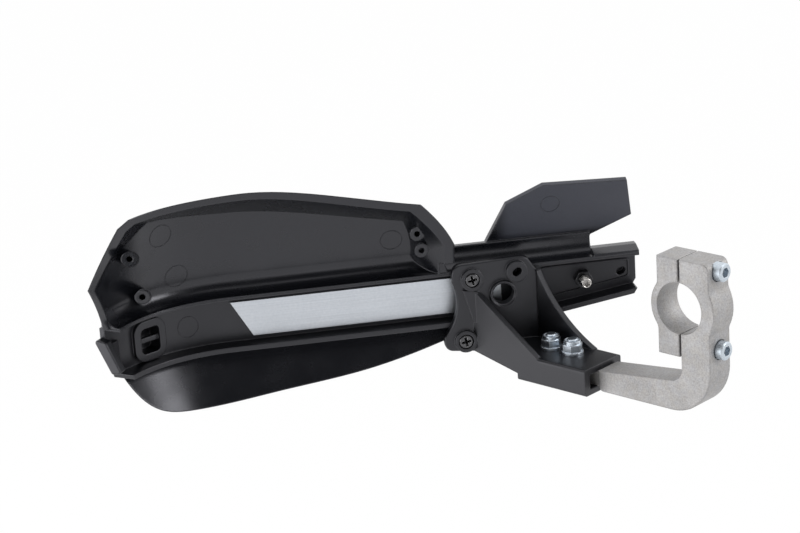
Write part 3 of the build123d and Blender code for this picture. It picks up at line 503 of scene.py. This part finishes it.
# Witness rings of the mould's ejector pins: low round beads on the inside of the leaf, the wing and the
# spine. They are of the same plastic as what they lie on, where a pin's end left its edge in the skin.
ring_width = 0.0005
ring_height = 0.0001
ring_rows = 4
ring_places = [  # node, centre in millimetres, the surface's normal there, radius in millimetres
    ("upper_shield", (-266.5, 89.8, 40.0), (0.444, -0.854, -0.272), 6.4),
    ("upper_shield", (-259.4, 101.4, 12.8), (0.313, -0.908, -0.279), 6.4),
    ("upper_shield", (-139.7, 104.4, 18.9), (0.0, -0.961, -0.276), 5.8),
    ("spine", (-255.3, 105.7, -18.8), (0.277, -0.961, 0.0), 5.7),
    ("upper_shield", (-50.2, 100.9, 30.8), (0.0, -0.94, -0.342), 5.0),
]
for number, (node, centre, normal, radius) in enumerate(ring_places, 1):
    # Flat ring in the surface's own plane: each row is a circle, its radius grows by the ring's width. The
    # ring is laid on the surface and thickened to both sides.
    out = np.array(normal) / np.linalg.norm(normal)
    first = np.cross((0, 0, 1), out)
    first /= np.linalg.norm(first)
    second = np.cross(out, first)
    reach = (radius * millimetre + ring_width * np.linspace(0, 1, ring_rows))[:, None, None]
    circle = np.cos(turn)[:, None] * first + np.sin(turn)[:, None] * second
    points = np.array(centre) * millimetre + reach * circle
    skin = nylon_black if node == "spine" else leaf_black
    ring = mesh_piece(f"ejector_ring_{number}", points, grid_faces(ring_rows, len(turn)), skin)
    lay = ring.modifiers.new("lay", "SHRINKWRAP")
    lay.target = nodes[node]
    lay.wrap_method = "NEAREST_SURFACEPOINT"
    thicken = ring.modifiers.new("thicken", "SOLIDIFY")
    thicken.thickness = 2 * ring_height
    thicken.offset = 0.0

# Floor: a plain white sweep of a product studio, well below the part, which is held in the air. The camera
# and the reflections see it white, and to all other light it is a pale, dull surface.
floor_level = -0.3
floor_side = 5.0
floor_front = -5.0
floor_back = 9.0
floor_colour = (0.9, 0.9, 0.9, 1)
shown_white = 0.97
white = (1, 1, 1, 1)
floor_corners = [
    (-floor_side, floor_front, floor_level), (floor_side, floor_front, floor_level),
    (floor_side, floor_back, floor_level), (-floor_side, floor_back, floor_level)]
floor_mesh = bpy.data.meshes.new("floor")
floor_mesh.from_pydata(floor_corners, [], [(0, 1, 2, 3)])
floor = bpy.data.objects.new("floor", floor_mesh)
bpy.context.scene.collection.objects.link(floor)
white_sweep = bpy.data.materials.new("white_sweep")
white_sweep.use_nodes = True
white_sweep.cycles.emission_sampling = "NONE"
sweep = white_sweep.node_tree
sweep.nodes.clear()
path = add_node(sweep, "LightPath").outputs
mirrored = combine(sweep, "MAXIMUM", path["Is Glossy Ray"], path["Is Transmission Ray"])
shown = combine(sweep, "MULTIPLY", path["Is Camera Ray"], shown_white)
dull = add_node(sweep, "BsdfDiffuse", Color=floor_colour).outputs["BSDF"]
glow = add_node(sweep, "Emission", Color=white, Strength=1.0).outputs["Emission"]
both = add_node(sweep, "MixShader", Fac=combine(sweep, "MAXIMUM", mirrored, shown), _1=dull, _2=glow)
add_node(sweep, "OutputMaterial", Surface=both.outputs["Shader"])
floor_mesh.materials.append(white_sweep)

# Studio: the white sweep rises behind the part and overhead, and it is dark above the camera. One large
# soft light stands on the left and a smaller one high on the right, in front.
studio_level = 1.2
dark_drop = 1.13
# Soft borders of the dark part, each from its outside to its inside: upwards, downwards, and from the back.
dark_foot = (0.06, 0.32)
dark_top = (0.92, 0.72)
dark_sides = (0.15, -0.35)
world = bpy.data.worlds.new("studio")
bpy.context.scene.world = world
world.use_nodes = True
sky = world.node_tree
sky.nodes.clear()
towards = add_node(sky, "SeparateXYZ", Vector=add_node(sky, "TexCoord").outputs["Generated"]).outputs
above_foot = ease(sky, towards["Z"], *dark_foot)
below_top = ease(sky, towards["Z"], *dark_top)
in_front = ease(sky, towards["Y"], *dark_sides)
dark_front = combine(sky, "MULTIPLY", in_front, combine(sky, "MULTIPLY", above_foot, below_top))
level = combine(sky, "SUBTRACT", studio_level, combine(sky, "MULTIPLY", dark_front, dark_drop))
bright = combine(sky, "MAXIMUM", level, add_node(sky, "LightPath").outputs["Is Camera Ray"])
backdrop = add_node(sky, "Background", Color=white, Strength=bright)
add_node(sky, "OutputWorld", Surface=backdrop.outputs["Background"])


def soft_light(name, place, width, height, power):
    """A rectangular area light at a place, facing the frame's origin, with its height upright."""
    light = bpy.data.objects.new(name, bpy.data.lights.new(name, "AREA"))
    bpy.context.scene.collection.objects.link(light)
    light.data.shape = "RECTANGLE"
    light.data.size = width
    light.data.size_y = height
    light.data.energy = power
    aim = (-Vector(place)).to_track_quat("-Z", "Y").to_matrix().to_4x4()
    light.matrix_world = Matrix.Translation(place) @ aim


soft_light("side_light", place=(-0.85, 0.0, 0.0), width=1.4, height=0.58, power=4.5)
soft_light("right_light", place=(0.85, -0.45, 0.5), width=0.5, height=0.5, power=5.0)

# Camera: a long lens at the photograph's angle, about 1.3 metres away, above the part and slightly rolled.
# Its axes and place were fitted to the part's outlines.
camera_place = (-0.3245, -1.1899, 0.4381)
camera_right = (0.98453, -0.16422, -0.06123)
camera_up = (0.10933, 0.30238, 0.94691)
camera_back = (-0.13698, -0.93894, 0.31565)
camera = bpy.data.objects.new("camera", bpy.data.cameras.new("camera"))
bpy.context.scene.collection.objects.link(camera)
bpy.context.scene.camera = camera
camera.data.sensor_width = 36.0
camera.data.lens = 112.07
camera.data.clip_end = 50.0
camera.matrix_world = Matrix([*zip(camera_right, camera_up, camera_back, camera_place), (0, 0, 0, 1)])
bpy.context.scene.view_settings.view_transform = "Standard"
